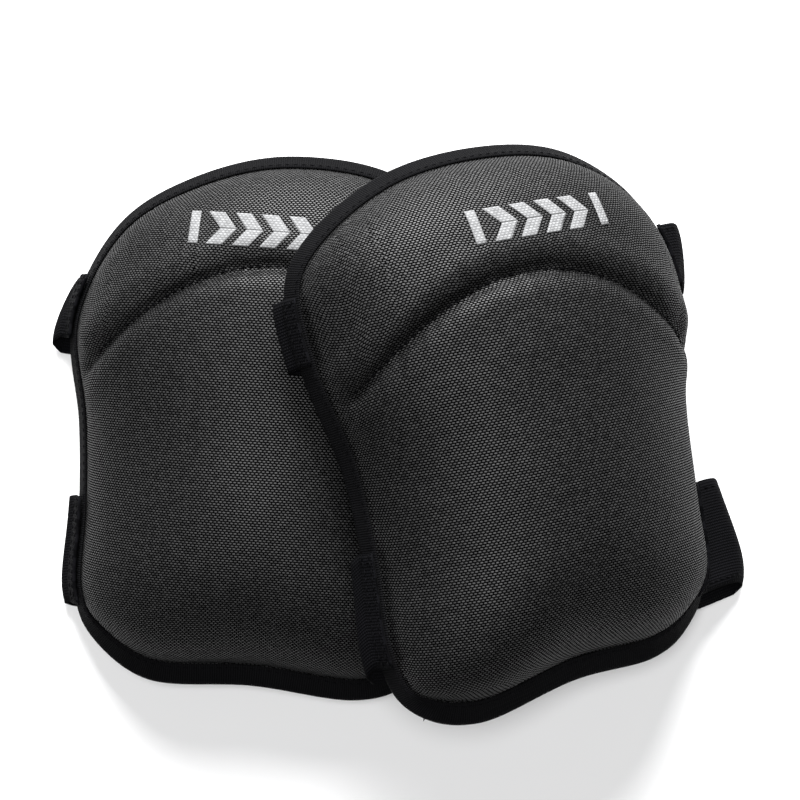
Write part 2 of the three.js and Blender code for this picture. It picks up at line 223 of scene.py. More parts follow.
def closed_body(rows, columns):
    """Faces between two such grids, the second numbered after the first: front, back and sides."""
    count = rows * columns
    front, corners = grid_quads(rows, columns)
    back = [[count + i for i in quad[::-1]] for quad in front]
    sides = [[b, a, count + a, count + b] for a, b in border_pairs(rows, columns)]
    return front, back, sides, corners


def face_tree(points):
    """A grid of points as a surface that rays can be cast at."""
    return BVHTree.FromPolygons([Vector(p) for p in points.reshape(-1, 3)], grid_quads(*points.shape[:2])[0])


def run_lengths(path):
    """How far each point of a polyline is along it."""
    return np.r_[0, np.cumsum(np.linalg.norm(np.diff(path, axis=0), axis=1))]


def smoothstep(x, low, high):
    t = np.clip((x - low) / (high - low), 0, 1)
    return t * t * (3 - 2 * t)


def bell(x, centre, width):
    return np.exp(-(((x - centre) / width) ** 2))


def ripple(x, seed, count=7, shortest=8.0, longest=34.0):
    """A smooth, irregular wave along x, from -1 to 1."""
    rng = np.random.default_rng(seed)
    total = np.zeros_like(np.asarray(x, float))
    for _ in range(count):
        total += np.sin(TAU * x / rng.uniform(shortest, longest) + rng.uniform(0, TAU))
    return total / (0.7 * count)


# ---- The padded shell ---------------------------------------------------------------------
def cubic(p1, p2, t1, t2, w):
    """The Hermite curve from p1 to p2 with tangents t1 and t2."""
    return p1 + t1 * w + (-3 * p1 + 3 * p2 - 2 * t1 - t2) * w**2 + (2 * p1 - 2 * p2 + t1 + t2) * w**3


def catmull_rom(p0, p1, p2, p3, w):
    """Uniform Catmull-Rom."""
    return cubic(p1, p2, 0.5 * (p2 - p0), 0.5 * (p3 - p1), w)


class Shell:
    """One pad's outer face, as dense closed curves from the rim to the crown line."""

    def __init__(self, pad):
        away, sides, self.seam = PADS[pad]["away"], PADS[pad]["sides"], PADS[pad]["seam"]
        right, left = (sides["outer"], sides["inner"]) if away > 0 else (sides["inner"], sides["outer"])
        control = np.array([*right, *[[-x, y] for x, y in left[1:-1][::-1]]], float)
        self.count = len(control)
        t = np.arange(DENSE) * self.count / DENSE
        i, w = np.floor(t).astype(int), (t % 1)[:, None]
        line = catmull_rom(*(control[(i + k) % self.count] for k in (-1, 0, 1, 2)), w)
        span = DENSE // TANGENT_SPAN
        along = np.roll(line, -span, 0) - np.roll(line, span, 0)
        outward = np.stack([-along[:, 1], along[:, 0]], 1)
        outward /= np.linalg.norm(outward, axis=1, keepdims=True)
        end = outward[:, 1] ** 2
        thigh = outward[:, 1] > 0
        slope = np.radians(SIDE_SLOPE + (np.where(thigh, THIGH_SLOPE, SHIN_SLOPE) - SIDE_SLOPE) * end)
        height = RIM_HEIGHT + np.where(thigh, THIGH_RISE, SHIN_RISE) * end
        self.rim = np.column_stack([line, height])
        self.edge = np.column_stack([
            line - outward * BINDING_WIDTH * np.cos(slope)[:, None],
            height + BINDING_WIDTH * np.sin(slope),
        ])
        spine = np.clip(line[:, 1], *SPINE)
        self.top = np.column_stack([np.zeros(DENSE), spine, np.full(DENSE, CROWN_HEIGHT)])

    def curve(self, s):
        """s is -1 at the rim, 0 at the inner side of the bound edge and 1 at the crown line."""
        if s < 0:
            return self.edge + (self.rim - self.edge) * -s
        q = self.edge + (self.top - self.edge) * s
        risen = (1 - (1 - s) ** SHELL_POWER) ** SHELL_ROUND
        q[:, 2] = self.edge[:, 2] + (CROWN_HEIGHT - self.edge[:, 2]) * risen
        return q

    def section(self, sign, y):
        """The bound edge's two corner points at height y on one side."""
        found = []
        for a in (self.rim, self.edge):
            b = np.roll(a, -1, 0)
            crosses = ((a[:, 1] - y) * (b[:, 1] - y) <= 0) & (a[:, 1] != b[:, 1])
            hit = np.where((a[:, 0] * sign > 0) & crosses)[0][-1]
            found.append(a[hit] + (b[hit] - a[hit]) * (y - a[hit, 1]) / (b[hit, 1] - a[hit, 1]))
        return found

    def grid(self, fine=1):
        """Points of the outer face on a grid of rectangles inside each other, and each point's s."""
        m, n, edge_rings = CELLS_ACROSS * fine, CELLS_ALONG * fine, EDGE_RINGS * fine
        rings = m // 2
        total, hits, ring_s = (np.zeros((n + 1, m + 1, *more)) for more in ((3,), (), ()))
        starts = [round(c * DENSE / self.count) for c in CORNERS]
        starts.append(starts[0] + DENSE)
        for k in range(rings + 1):
            inside = k - edge_rings
            s = inside / edge_rings if inside < 0 else (inside / (rings - edge_rings)) ** RING_POWER
            dense = self.curve(s)
            sides = [
                [(n - k - j, m - k) for j in range(n - 2 * k + 1)],
                [(k, m - k - j) for j in range(m - 2 * k + 1)],
                [(k + j, k) for j in range(n - 2 * k + 1)],
                [(n - k, k + j) for j in range(m - 2 * k + 1)],
            ]
            for side, cells in enumerate(sides):
                if len(cells) < 2:
                    continue
                run = dense[np.arange(starts[side], starts[side + 1] + 1) % DENSE]
                length = np.r_[0, np.cumsum(np.linalg.norm(np.diff(run, axis=0), axis=1) + 1e-9)]
                at = np.linspace(0, length[-1], len(cells))
                points = np.column_stack([np.interp(at, length, run[:, a]) for a in range(3)])
                for (r, c), p in zip(cells, points):
                    total[r, c] += p
                    hits[r, c] += 1
                    ring_s[r, c] = s
        return total / hits[..., None], ring_s


def normals_of(points):
    """Outward normals on a grid of points."""
    down, across = np.gradient(points, axis=0), np.gradient(points, axis=1)
    normal = np.cross(across, down)
    return normal / np.maximum(np.linalg.norm(normal, axis=2, keepdims=True), 1e-9)


def stack(s):
    """How thick cover, foam and lining are together."""
    inside = np.clip(s, 0, 1)
    return EDGE_STACK + (FULL_STACK - EDGE_STACK) * (1 - (1 - inside) ** STACK_POWER)


def arch_y(seam, x):
    return seam["top"] - seam["drop"] * ((x - seam["middle"]) / ARCH_HALF) ** 2


def seam_distance(seam, x, y):
    """Signed distance from the arched seam, positive on its thigh side."""
    slope = -2 * seam["drop"] * (x - seam["middle"]) / ARCH_HALF**2
    return (y - arch_y(seam, x)) / np.sqrt(1 + slope**2)


def cloth_lengths(points):
    """For each grid point, how far it is from the middle along the cloth, across and along the pad."""
    half_x, half_y, most_rise = 104, 128, 60  # mm, mm and mm2: what the grid covers, and a step's steepest
    xs = np.arange(-half_x, half_x + 0.1, CLOTH_STEP)
    ys = np.arange(-half_y, half_y + 0.1, CLOTH_STEP)
    tree = face_tree(points)
    height = np.full((len(ys), len(xs)), float(RIM_HEIGHT))
    for i, y in enumerate(ys):
        for j, x in enumerate(xs):
            hit = tree.ray_cast(Vector((x, y, FROM_ABOVE)), Vector((0, 0, -1)))[0]
            if hit:
                height[i, j] = hit.z
    step_x = np.sqrt(CLOTH_STEP**2 + np.minimum(np.diff(height, axis=1) ** 2, most_rise))
    step_y = np.sqrt(CLOTH_STEP**2 + np.minimum(np.diff(height, axis=0) ** 2, most_rise))
    u = np.concatenate([np.zeros((len(ys), 1)), np.cumsum(step_x, 1)], 1)
    v = np.concatenate([np.zeros((1, len(xs))), np.cumsum(step_y, 0)], 0)
    u -= u[:, [len(xs) // 2]]
    v -= v[[len(ys) // 2], :]
    flat = points.reshape(-1, 3)
    fx = np.clip((flat[:, 0] - xs[0]) / CLOTH_STEP, 0, len(xs) - 1.001)
    fy = np.clip((flat[:, 1] - ys[0]) / CLOTH_STEP, 0, len(ys) - 1.001)
    i, j, a, b = fy.astype(int), fx.astype(int), fy % 1, fx % 1

    def sample(field):
        low = field[i, j] * (1 - b) + field[i, j + 1] * b
        high = field[i + 1, j] * (1 - b) + field[i + 1, j + 1] * b
        return low * (1 - a) + high * a

    return np.column_stack([sample(u), sample(v)])


# ---- Cloth --------------------------------------------------------------------------------
def puffed(points, inner, s, seam, seed):
    """How far the padding presses each point of the outer face out.

    It is Blender's cloth under pressure, held at the edge, at the inner face and along the seam.
    """
    count = s.size
    front, back, sides, _ = closed_body(*s.shape)
    normal = normals_of(points)
    off = np.abs(seam_distance(seam, points[..., 0], points[..., 1]))
    start = points - normal * (START_INSET * smoothstep(s, 0.0, 0.12))[..., None]
    rng = np.random.default_rng(seed)
    start += normal * (rng.normal(0, START_UNEVEN, s.shape) * smoothstep(s, 0.0, 0.1))[..., None]
    mesh = bpy.data.meshes.new("cloth_sim")
    everything = np.vstack([start.reshape(-1, 3), inner.reshape(-1, 3)]) * SIM_SCALE
    mesh.from_pydata([tuple(p) for p in everything], [], front + back + sides)
    obj = linked("cloth_sim", mesh)
    held = obj.vertex_groups.new(name="held")
    fixed = np.where((s.ravel() < 0.002) | (off.ravel() < HELD_BY_SEAM))[0].tolist()
    held.add(fixed + list(range(count, 2 * count)), 1.0, "REPLACE")
    slack = obj.vertex_groups.new(name="slack")
    weights = bell(off.ravel(), 0, 9) * smoothstep(s.ravel(), 0.0, 0.1)
    for i, w in enumerate(weights):
        if w > 0.02:
            slack.add([i], float(w), "REPLACE")
    cloth = obj.modifiers.new("cloth", "CLOTH")
    settings = cloth.settings
    settings.quality = 6
    settings.mass = SIM_MASS
    settings.use_pressure = True
    settings.uniform_pressure_force = SIM_PRESSURE
    settings.vertex_group_mass = "held"
    settings.vertex_group_shrink = "slack"
    settings.shrink_min = 0.0
    settings.shrink_max = -SIM_SLACK
    settings.bending_stiffness = 0.6
    settings.effector_weights.gravity = 0
    cloth.collision_settings.use_collision = False
    scene = bpy.context.scene
    cloth.point_cache.frame_start, cloth.point_cache.frame_end = 1, SIM_FRAMES
    for step in range(1, SIM_FRAMES + 1):
        scene.frame_set(step)
    graph = bpy.context.evaluated_depsgraph_get()
    done = obj.evaluated_get(graph).to_mesh()
    out = np.empty(len(done.vertices) * 3)
    done.vertices.foreach_get("co", out)
    result = out.reshape(-1, 3)[:count].reshape(points.shape) / SIM_SCALE
    obj.evaluated_get(graph).to_mesh_clear()
    bpy.data.objects.remove(obj)
    scene.frame_set(1)
    moved = result - points
    size = np.linalg.norm(moved, axis=2, keepdims=True)
    firm = 0.35 + 0.65 * smoothstep(s, 0.03, 0.4)
    return moved * np.minimum(1, PUFF_CAP / np.maximum(size, 1e-6)) * firm[..., None]


def finer(field):
    """A grid field at twice the resolution."""
    for axis in (0, 1):
        count = field.shape[axis]
        at = np.linspace(0, count - 1, 2 * count - 1)
        field = np.apply_along_axis(lambda line: np.interp(at, np.arange(count), line), axis, field)
    return field


def quilted(points, s, seam, seed):
    """Adds the seam's groove, the rolls on both sides of it and its puckers."""
    x, y = points[..., 0], points[..., 1]
    d = seam_distance(seam, x, y)
    free = smoothstep(s, 0.0, 0.06)
    along = x * 1.12  # the seam is a little longer than its x
    gather = ripple(along, seed) * 0.7 + ripple(along, seed + 1, shortest=5, longest=12) * 0.5
    height = -2.6 * bell(d, 0, 2.0) - 1.2 * bell(d, 0, 6.5)
    height += 1.5 * bell(d, 10, 6.5) + 0.7 * bell(d, -8, 5.5)
    height += gather * (0.75 * bell(d, 5, 4.5) + 0.55 * bell(d, -5, 4.0))
    height += 0.35 * ripple(x + 0.4 * y, seed + 2, shortest=24, longest=70) * bell(d, 24, 20)
    height += 0.30 * ripple(y - 0.3 * x, seed + 3, shortest=40, longest=110)
    height -= 0.8 * bell(s, 0.0, 0.012)
    return points + normals_of(points) * (height * free)[..., None]


# ---- Materials ----------------------------------------------------------------------------
class Look:
    """A material's nodes."""

    def __init__(self, name, roughness, sheen=0.0, sheen_roughness=0.4, specular=0.3):
        self.material = bpy.data.materials.new(name)
        self.material.use_nodes = True
        self.tree = self.material.node_tree
        self.shader = self.tree.nodes["Principled BSDF"]
        self.shader.inputs["Roughness"].default_value = roughness
        self.shader.inputs["Specular IOR Level"].default_value = specular
        self.shader.inputs["Sheen Weight"].default_value = sheen
        self.shader.inputs["Sheen Roughness"].default_value = sheen_roughness

    def _set(self, socket, value):
        if isinstance(value, (int, float)):
            socket.default_value = value
        elif isinstance(value, tuple):
            opaque = len(socket.default_value) == 4 and len(value) == 3
            socket.default_value = (*value, 1) if opaque else value
        else:
            self.tree.links.new(value, socket)

    def math(self, op, a, b=0.0, c=0.0):
        node = self.tree.nodes.new("ShaderNodeMath")
        node.operation = op
        for socket, value in zip(node.inputs, (a, b, c)):
            self._set(socket, value)
        return node.outputs[0]

    def uv(self):
        node = self.tree.nodes.new("ShaderNodeUVMap")
        node.uv_map = "cloth_mm"
        split = self.tree.nodes.new("ShaderNodeSeparateXYZ")
        self.tree.links.new(node.outputs[0], split.inputs[0])
        return split.outputs[0], split.outputs[1]

    def place(self):
        return self.tree.nodes.new("ShaderNodeTexCoord").outputs["Object"]

    def vector(self, x, y, z=0.0):
        node = self.tree.nodes.new("ShaderNodeCombineXYZ")
        for socket, value in zip(node.inputs, (x, y, z)):
            self._set(socket, value)
        return node.outputs[0]

    def noise(self, where, scale, detail=3.0, roughness=0.5):
        node = self.tree.nodes.new("ShaderNodeTexNoise")
        self.tree.links.new(where, node.inputs["Vector"])
        node.inputs["Scale"].default_value = scale
        node.inputs["Detail"].default_value = detail
        node.inputs["Roughness"].default_value = roughness
        return node.outputs[0]

    def random(self, where):
        node = self.tree.nodes.new("ShaderNodeTexWhiteNoise")
        self.tree.links.new(where, node.inputs["Vector"])
        return node.outputs["Value"]

    def ramp(self, value, low, high, to_low=0.0, to_high=1.0):
        node = self.tree.nodes.new("ShaderNodeMapRange")
        node.interpolation_type = "SMOOTHSTEP"
        for socket, item in zip(node.inputs, (value, low, high, to_low, to_high)):
            self._set(socket, item)
        return node.outputs[0]

    def blend(self, factor, a, b):
        node = self.tree.nodes.new("ShaderNodeMix")
        node.data_type = "RGBA"
        self._set(node.inputs[0], factor)
        self._set(node.inputs[6], a)
        self._set(node.inputs[7], b)
        return node.outputs[2]

    def colour(self, value):
        self._set(self.shader.inputs["Base Color"], value)

    def rough(self, value):
        self._set(self.shader.inputs["Roughness"], value)

    def shine(self, value):
        self._set(self.shader.inputs["Specular IOR Level"], value)

    def bump(self, height, depth):
        node = self.tree.nodes.new("ShaderNodeBump")
        node.inputs["Strength"].default_value = 1.0
        node.inputs["Distance"].default_value = depth * MM
        self._set(node.inputs["Height"], height)
        self._set(self.shader.inputs["Normal"], node.outputs[0])


def wave(look, value, pitch, phase=0.0):
    """0 to 1 and back over each pitch."""
    turn = look.math("MULTIPLY_ADD", value, TAU / pitch, phase)
    return look.math("MULTIPLY_ADD", look.math("COSINE", turn), -0.5, 0.5)


def ballistic_weave(look, u, v):
    """Rows of short, thick floats, each row half a float along from the last.

    Returns the height of a float's dome and a random number for it.
    """
    row = look.math("FLOOR", look.math("DIVIDE", v, ROW_PITCH))
    shift = look.math("MULTIPLY", look.math("MODULO", look.math("ABSOLUTE", row), 2.0), 0.5)
    along = look.math("ADD", look.math("DIVIDE", u, FLOAT_PITCH), shift)
    a = look.math("SUBTRACT", look.math("FRACT", along), 0.5)
    b = look.math("SUBTRACT", look.math("FRACT", look.math("DIVIDE", v, ROW_PITCH)), 0.5)
    a2 = look.math("POWER", look.math("ABSOLUTE", look.math("DIVIDE", a, FLOAT_HALF[0])), 2.4)
    b2 = look.math("POWER", look.math("ABSOLUTE", look.math("DIVIDE", b, FLOAT_HALF[1])), 2.0)
    dome = look.math("SQRT", look.math("MAXIMUM", look.math("SUBTRACT", 1.0, look.math("ADD", a2, b2)), 0.0))
    chance = look.random(look.vector(look.math("FLOOR", along), row))
    return dome, chance


def cover_look():
    look = Look("cover_weave", roughness=0.6)
    u, v = look.uv()
    here = look.place()
    dome, chance = ballistic_weave(look, u, v)
    soft = look.noise(here, 14.0, 4.0, 0.55)
    # Colour: each float's dome is painted lighter and the gaps between floats nearly black, a painted
    # highlight and painted shade standing in for the yarns shading each other; chance and the soft noise add
    # a random tone per float.
    painted_weave_light = look.math("MULTIPLY", dome, look.math("MULTIPLY_ADD", chance, 0.55, 0.7))
    painted_weave_light = look.math("MULTIPLY", painted_weave_light, look.math("MULTIPLY_ADD", soft, 0.5, 0.75))
    look.colour(look.blend(painted_weave_light, (0.0003, 0.0003, 0.0004), (0.019, 0.019, 0.0193)))
    look.shine(look.math("MULTIPLY", painted_weave_light, 0.5))
    look.rough(look.math("MULTIPLY_ADD", dome, -0.38, look.math("MULTIPLY_ADD", chance, 0.1, 0.84)))
    look.bump(dome, 0.09)
    return look.material


def lining_look():
    look = Look("lining_knit", roughness=0.9, sheen=0.03, sheen_roughness=0.5, specular=0.06)
    u, v = look.uv()
    ribs = wave(look, u, 1.1)
    loops = wave(look, look.math("ADD", v, look.math("MULTIPLY", ribs, 0.4)), 0.9)
    height = look.math("MULTIPLY", ribs, look.math("MULTIPLY_ADD", loops, 0.6, 0.4))
    soft = look.noise(look.place(), 18.0, 4.0)
    # Colour: the knit's ribs and loops are painted lighter on top and darker between them, painted shade in
    # the knit's dips, plus a soft random tone from the noise.
    painted_shade_and_tone = look.math("MULTIPLY_ADD", height, 0.55, look.math("MULTIPLY", soft, 0.4))
    look.colour(look.blend(painted_shade_and_tone, (0.002, 0.002, 0.0023), (0.015, 0.015, 0.0165)))
    look.bump(height, 0.22)
    return look.material


def tape_look():
    look = Look("binding_ribs", roughness=0.6, sheen=0.004, sheen_roughness=0.4, specular=0.02)
    u, v = look.uv()
    ribs = wave(look, u, 1.05)
    yarns = wave(look, v, 0.75)
    height = look.math("MULTIPLY_ADD", ribs, 0.75, look.math("MULTIPLY", yarns, 0.25))
    soft = look.noise(look.vector(u, v), 0.05, 4.0)
    # Colour: the tape's ribs are painted lighter and the grooves between them darker, painted shade in the
    # grooves, plus a soft random tone from the noise.
    painted_shade_and_tone = look.math("MULTIPLY_ADD", height, 0.6, look.math("MULTIPLY", soft, 0.35))
    look.colour(look.blend(painted_shade_and_tone, (0.0004, 0.0004, 0.0005), (0.0072, 0.0072, 0.008)))
    look.rough(look.math("MULTIPLY_ADD", soft, 0.2, 0.55))
    look.bump(height, 0.26)
    return look.material


def webbing_look():
    look = Look("elastic_webbing", roughness=0.65, sheen=0.004, sheen_roughness=0.4, specular=0.02)
    u, v = look.uv()
    ribs = wave(look, v, WEB_RIB)
    shift = look.math("MULTIPLY", look.math("FLOOR", look.math("DIVIDE", v, WEB_RIB)), 0.55)
    picks = wave(look, look.math("ADD", u, shift), 1.1)
    height = look.math("MULTIPLY", look.math("POWER", ribs, 0.5), look.math("MULTIPLY_ADD", picks, 0.6, 0.4))
    soft = look.noise(look.vector(u, v), 0.07, 3.0)
    # Colour: the webbing's ribs and picks are painted lighter on top and darker between them, painted shade
    # in the grooves, plus a soft random tone from the noise.
    painted_shade_and_tone = look.math("MULTIPLY_ADD", height, 0.65, look.math("MULTIPLY", soft, 0.3))
    look.colour(look.blend(painted_shade_and_tone, (0.0005, 0.0005, 0.0006), (0.0055, 0.0055, 0.0067)))
    look.rough(look.math("MULTIPLY_ADD", soft, 0.2, 0.58))
    look.bump(height, 0.4)
    return look.material


def pile_look(name, spacing, low, high, depth, roughness):
    look = Look(name, roughness=roughness, sheen=0.02, sheen_roughness=0.5, specular=0.08)
    u, v = look.uv()
    rows = wave(look, v, spacing)
    tufts = look.noise(look.vector(u, v), 2.2 / spacing, 3.0, 0.7)
    height = look.math("MULTIPLY_ADD", rows, 0.45, tufts)
    # Colour follows the pile's height: lighter on the rows and tufts, darker in the dips between them, which
    # is painted shade.
    look.colour(look.blend(height, low, high))
    look.bump(height, depth)
    return look.material


def thread_look():
    look = Look("sewing_thread", roughness=0.55, sheen=0.004, specular=0.02)
    u, v = look.uv()
    twist = wave(look, look.math("ADD", u, v), 0.55)
    soft = look.noise(look.place(), 60.0, 2.0)
    # Colour: the thread's twist is painted lighter on its ridges and darker in its grooves, painted shade,
    # scaled by a random tone from the noise.
    painted_shade_and_tone = look.math("MULTIPLY", twist, soft)
    look.colour(look.blend(painted_shade_and_tone, (0.0007, 0.0007, 0.0009), (0.010, 0.010, 0.0115)))
    look.bump(twist, 0.08)
    return look.material


def print_look():
    look = Look("printed_mark", roughness=0.62, specular=0.1)
    u, v = look.uv()
    height, chance = ballistic_weave(look, u, v)
    worn = look.noise(look.vector(u, v), 0.16, 5.0, 0.6)
    # The print is painted lighter on the floats' domes and darker between them, painted shade between the
    # yarns; chance adds a random tone per float and the worn noise takes ink off in patches.
    ink_with_painted_shade = look.math("MULTIPLY_ADD", height, 0.45, 0.55)
    ink_with_painted_shade = look.math("MULTIPLY", ink_with_painted_shade, look.math("MULTIPLY_ADD", chance, 0.3, 0.75))
    ink_with_painted_shade = look.math("MULTIPLY", ink_with_painted_shade, look.ramp(worn, 0.22, 0.5, 0.75, 1.0))
    look.colour(look.blend(ink_with_painted_shade, (0.022, 0.022, 0.023), (0.265, 0.268, 0.272)))
    look.bump(height, 0.2)
    return look.material


def floor_look():
    look = Look("pale_floor", roughness=0.75, specular=0.2)
    look.colour((0.86, 0.86, 0.864))
    return look.material


# ---- Pieces -------------------------------------------------------------------------------
def skinned(name, pad, outer, inner, flat, material):
    """A closed body between two grids of the same size. flat holds each grid point's (u, v)."""
    rows, columns, _ = outer.shape
    front, back, sides, _ = closed_body(rows, columns)
    points = np.vstack([outer.reshape(-1, 3), inner.reshape(-1, 3)])
    faces = front + back + sides
    uvs = flat[np.array(faces).ravel() % (rows * columns)]
    return piece(name, pad, points, faces, material, uvs)


def thread_runs(stitches, radius):
    """Short arched stitches: each is (start, end, up), and stands up a little in the middle."""
    sides, steps, facet = 6, 5, 0.33
    points, faces, uvs = [], [], []
    for start, end, up in stitches:
        start, end, up = (np.asarray(a, float) for a in (start, end, up))
        along = (end - start) / np.linalg.norm(end - start)
        side = np.cross(along, up)
        side /= np.linalg.norm(side)
        up = np.cross(side, along)
        base = len(points)
        for i in range(steps + 1):
            t = i / steps
            lift = math.sin(math.pi * t)
            size = radius * (0.35 + 0.65 * lift**0.5)
            centre = start + (end - start) * t + up * (lift * 0.42 - 0.25)
            for j in range(sides):
                turn = TAU * j / sides
                points.append(centre + size * (side * math.cos(turn) + up * math.sin(turn)))
        length = np.linalg.norm(end - start)
        for i in range(steps):
            for j in range(sides):
                k, here = (j + 1) % sides, base + i * sides
                faces.append([here + j, here + k, here + sides + k, here + sides + j])
                u0, u1 = length * i / steps, length * (i + 1) / steps
                v0, v1 = j * facet, (j + 1) * facet
                uvs += [(u0, v0), (u0, v1), (u1, v1), (u1, v0)]
        for first, order in ((base, range(sides - 1, -1, -1)), (base + steps * sides, range(sides))):
            faces.append([first + j for j in order])
            uvs += [(0, 0)] * sides
    return points, faces, uvs


def stitch_line(path, ups, length=2.7, gap=1.1):
    """Stitches laid along a polyline."""
    far = run_lengths(path)

    def at(values, distance):
        return np.array([np.interp(distance, far, values[:, a]) for a in range(3)])

    count = int(far[-1] // (length + gap))
    starts = [i * far[-1] / count for i in range(count)]
    return [(at(path, d), at(path, d + length), at(ups, d + length / 2)) for d in starts]


def sewn(name, pad, stitches, radius, body):
    points, faces, uvs = thread_runs(stitches, radius)
    obj = piece(name, pad, points, faces, LOOKS["thread"], uvs)
    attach(obj, body)
    return obj


def make_cushion(pad, shell, seed):
    """The padded cover and, against its inner face, the lining. Returns the cover as a surface."""
    coarse, s = shell.grid()
    depth = stack(s)
    inner = coarse - normals_of(coarse) * (depth - LINING - 0.05)[..., None]
    moved = puffed(coarse, inner, s, shell.seam, seed)
    fine, fine_s = shell.grid(2)
    normal = normals_of(fine)
    fine_inner = fine - normal * (stack(fine_s) - LINING - 0.1)[..., None]
    outer = quilted(fine + finer(moved), fine_s, shell.seam, seed)
    flat = cloth_lengths(outer)
    cushion = skinned(pad + "_cushion", pad, outer, fine_inner, flat, LOOKS["cover"])
    layers = ("thigh_panel", "knee_panel", "thigh_foam", "knee_foam")
    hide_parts(*(f"{pad}_{layer}" for layer in layers))
    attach(cushion, pad + "_pad")
    top = fine - normal * (stack(fine_s) - LINING)[..., None]
    wrinkle = 0.25 * ripple(fine[..., 0] + 0.5 * fine[..., 1], seed + 9, shortest=16, longest=60)
    bottom = fine - normal * (stack(fine_s) + wrinkle * smoothstep(fine_s, 0.02, 0.2))[..., None]
    lining = skinned(pad + "_lining", pad, top, bottom, flat, LOOKS["lining"])
    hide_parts(pad + "_inner_lining")
    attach(lining, pad + "_pad")
    return face_tree(outer)


def on_face(tree, x, y):
    hit, normal, _, _ = tree.ray_cast(Vector((x, y, FROM_ABOVE)), Vector((0, 0, -1)))
    return np.array(hit), np.array(normal if normal.z > 0 else -normal)


def make_arch_stitches(pad, shell, tree):
    found = [on_face(tree, x, arch_y(shell.seam, x)) for x in range(-SEAM_REACH, SEAM_REACH + 1)]
    path, ups = (np.array(column) for column in zip(*found))
    stitches = stitch_line(path + ups * 0.15, ups, 3.0, 1.0)
    thread = sewn(pad + "_arch_stitches", pad, stitches, SEAM_THREAD, pad + "_pad")
    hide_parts(pad + "_arch_thread")


def make_print(pad, tree, away):
    """Four chevrons between two short bars, each made of patches (a, b, c, d) that follow the cover."""
    cx, cy = LABEL_AT[0] * away, LABEL_AT[1]
    half, wide = PRINT_HALF, BAR_WIDTH
    patches = [[(x, -half), (x + wide, -half), (x + wide, half), (x, half)] for x in PRINT_BARS]
    for x in PRINT_CHEVRONS:
        far, tip = x + CHEVRON_WIDTH, x + CHEVRON_WIDTH + CHEVRON_POINT
        patches.append([(x, -half), (far, -half), (tip, 0), (x + CHEVRON_POINT, 0)])
        patches.append([(x + CHEVRON_POINT, 0), (tip, 0), (far, half), (x, half)])
    points, faces, uvs = [], [], []
    rows, columns = PRINT_CELLS
    for patch in patches:
        a, b, c, d = (np.array(corner, float) for corner in patch)
        base = len(points)
        for level in (PRINT_RISE, PRINT_SINK):
            for v in np.linspace(0, 1, rows):
                for u in np.linspace(0, 1, columns):
                    x, y = (a * (1 - u) + b * u) * (1 - v) + (d * (1 - u) + c * u) * v
                    point, normal = on_face(tree, cx + x, cy + y)
                    points.append(point + normal * level)
        front, back, sides, _ = closed_body(rows, columns)
        for face in front + back + sides:
            faces.append([base + i for i in face])
            uvs += [tuple(points[base + i][:2]) for i in face]
    mark = piece(pad + "_print", pad, points, faces, LOOKS["print"], uvs)
    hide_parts(pad + "_label")
    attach(mark, pad + "_pad")


def binding_profile():
    """The tape's section: (distance in from the rim, depth under the outer face) round both skins.

    Returns it with the depth of its outer face, its far skin's inner face and its middle.
    """
    tip, tape = BINDING_TIP, BINDING_TAPE
    low, high = -GAP - tape, EDGE_STACK + GAP
    middle, half = (low + high + tape) / 2, (high + tape - low) / 2
    profile = [(tip, low + 0.35), (tip - 0.4, low), (0.7 * tip, low - 0.05), (0.48 * tip, low + 0.02)]
    profile.append((0.25 * tip, low))
    for i in range(FOLD_STEPS + 1):
        turn = math.pi * i / FOLD_STEPS
        profile.append((0.9 - 2.3 * math.sin(turn), middle - half * math.cos(turn)))
    profile += [(0.25 * tip, high + tape), (0.6 * tip, high + tape), (tip - 0.4, high + tape)]
    profile += [(tip, high + 0.5), (tip - 0.3, high + 0.1), (0.6 * tip, high), (2, high), (0.2, high - 0.6)]
    profile += [(-0.5, middle), (0.2, -0.1), (2, -0.25), (0.6 * tip, -0.25), (tip - 0.3, -0.25)]
    return profile, low, high, middle


def make_binding(pad, shell, seed):
    """The folded tape, with a round fold, soft ripples and a row of stitches along each edge."""
    step = DENSE // BINDING_ROWS
    rim, edge = shell.rim[::step], shell.edge[::step]
    across = (edge - rim) / np.linalg.norm(edge - rim, axis=1, keepdims=True)
    around = np.roll(rim, -1, 0) - np.roll(rim, 1, 0)
    inward = np.cross(around, across)
    inward /= np.linalg.norm(inward, axis=1, keepdims=True)
    inward *= -np.sign(inward[:, [2]])
    profile, low, high, middle = binding_profile()
    tip = BINDING_TIP
    far = run_lengths(np.vstack([rim, rim[:1]]))
    wobble = 0.28 * ripple(far[:-1], seed + 20, shortest=10, longest=40)
    scallop = 0.22 * np.cos(TAU * far[:-1] * round(far[-1] / SCALLOP_PITCH) / far[-1])
    grid = []
    for a, d in profile:
        puff = math.sin(math.pi * min(max(a, 0) / tip, 1)) * (1 if d < middle else -1)
        shift = (wobble + scallop * 0.5) * puff * 0.5
        grid.append(rim + across * a + inward * (d - shift)[:, None])
    grid = np.array(grid)
    lengths = np.r_[0, np.cumsum([math.dist(p, q) for p, q in zip(profile, profile[1:] + profile[:1])])]
    quads, corners = grid_quads(*grid.shape[:2], True, True, flip=True)
    uvs = np.column_stack([far[corners[:, 1]], lengths[corners[:, 0]]])
    tape = piece(pad + "_binding", pad, grid.reshape(-1, 3), quads, LOOKS["tape"], uvs)
    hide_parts(pad + "_edge_binding")
    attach(tape, pad + "_pad")
    ups = np.vstack([-inward, -inward[:1]])
    stitches = []
    for depth, side in ((low - 0.02, ups), (high + BINDING_TAPE + 0.02, -ups)):
        path = rim + across * (tip - STITCH_INSET) + inward * depth
        stitches += stitch_line(np.vstack([path, path[:1]]), side)
    sewn(pad + "_binding_stitches", pad, stitches, EDGE_THREAD, pad + "_pad")


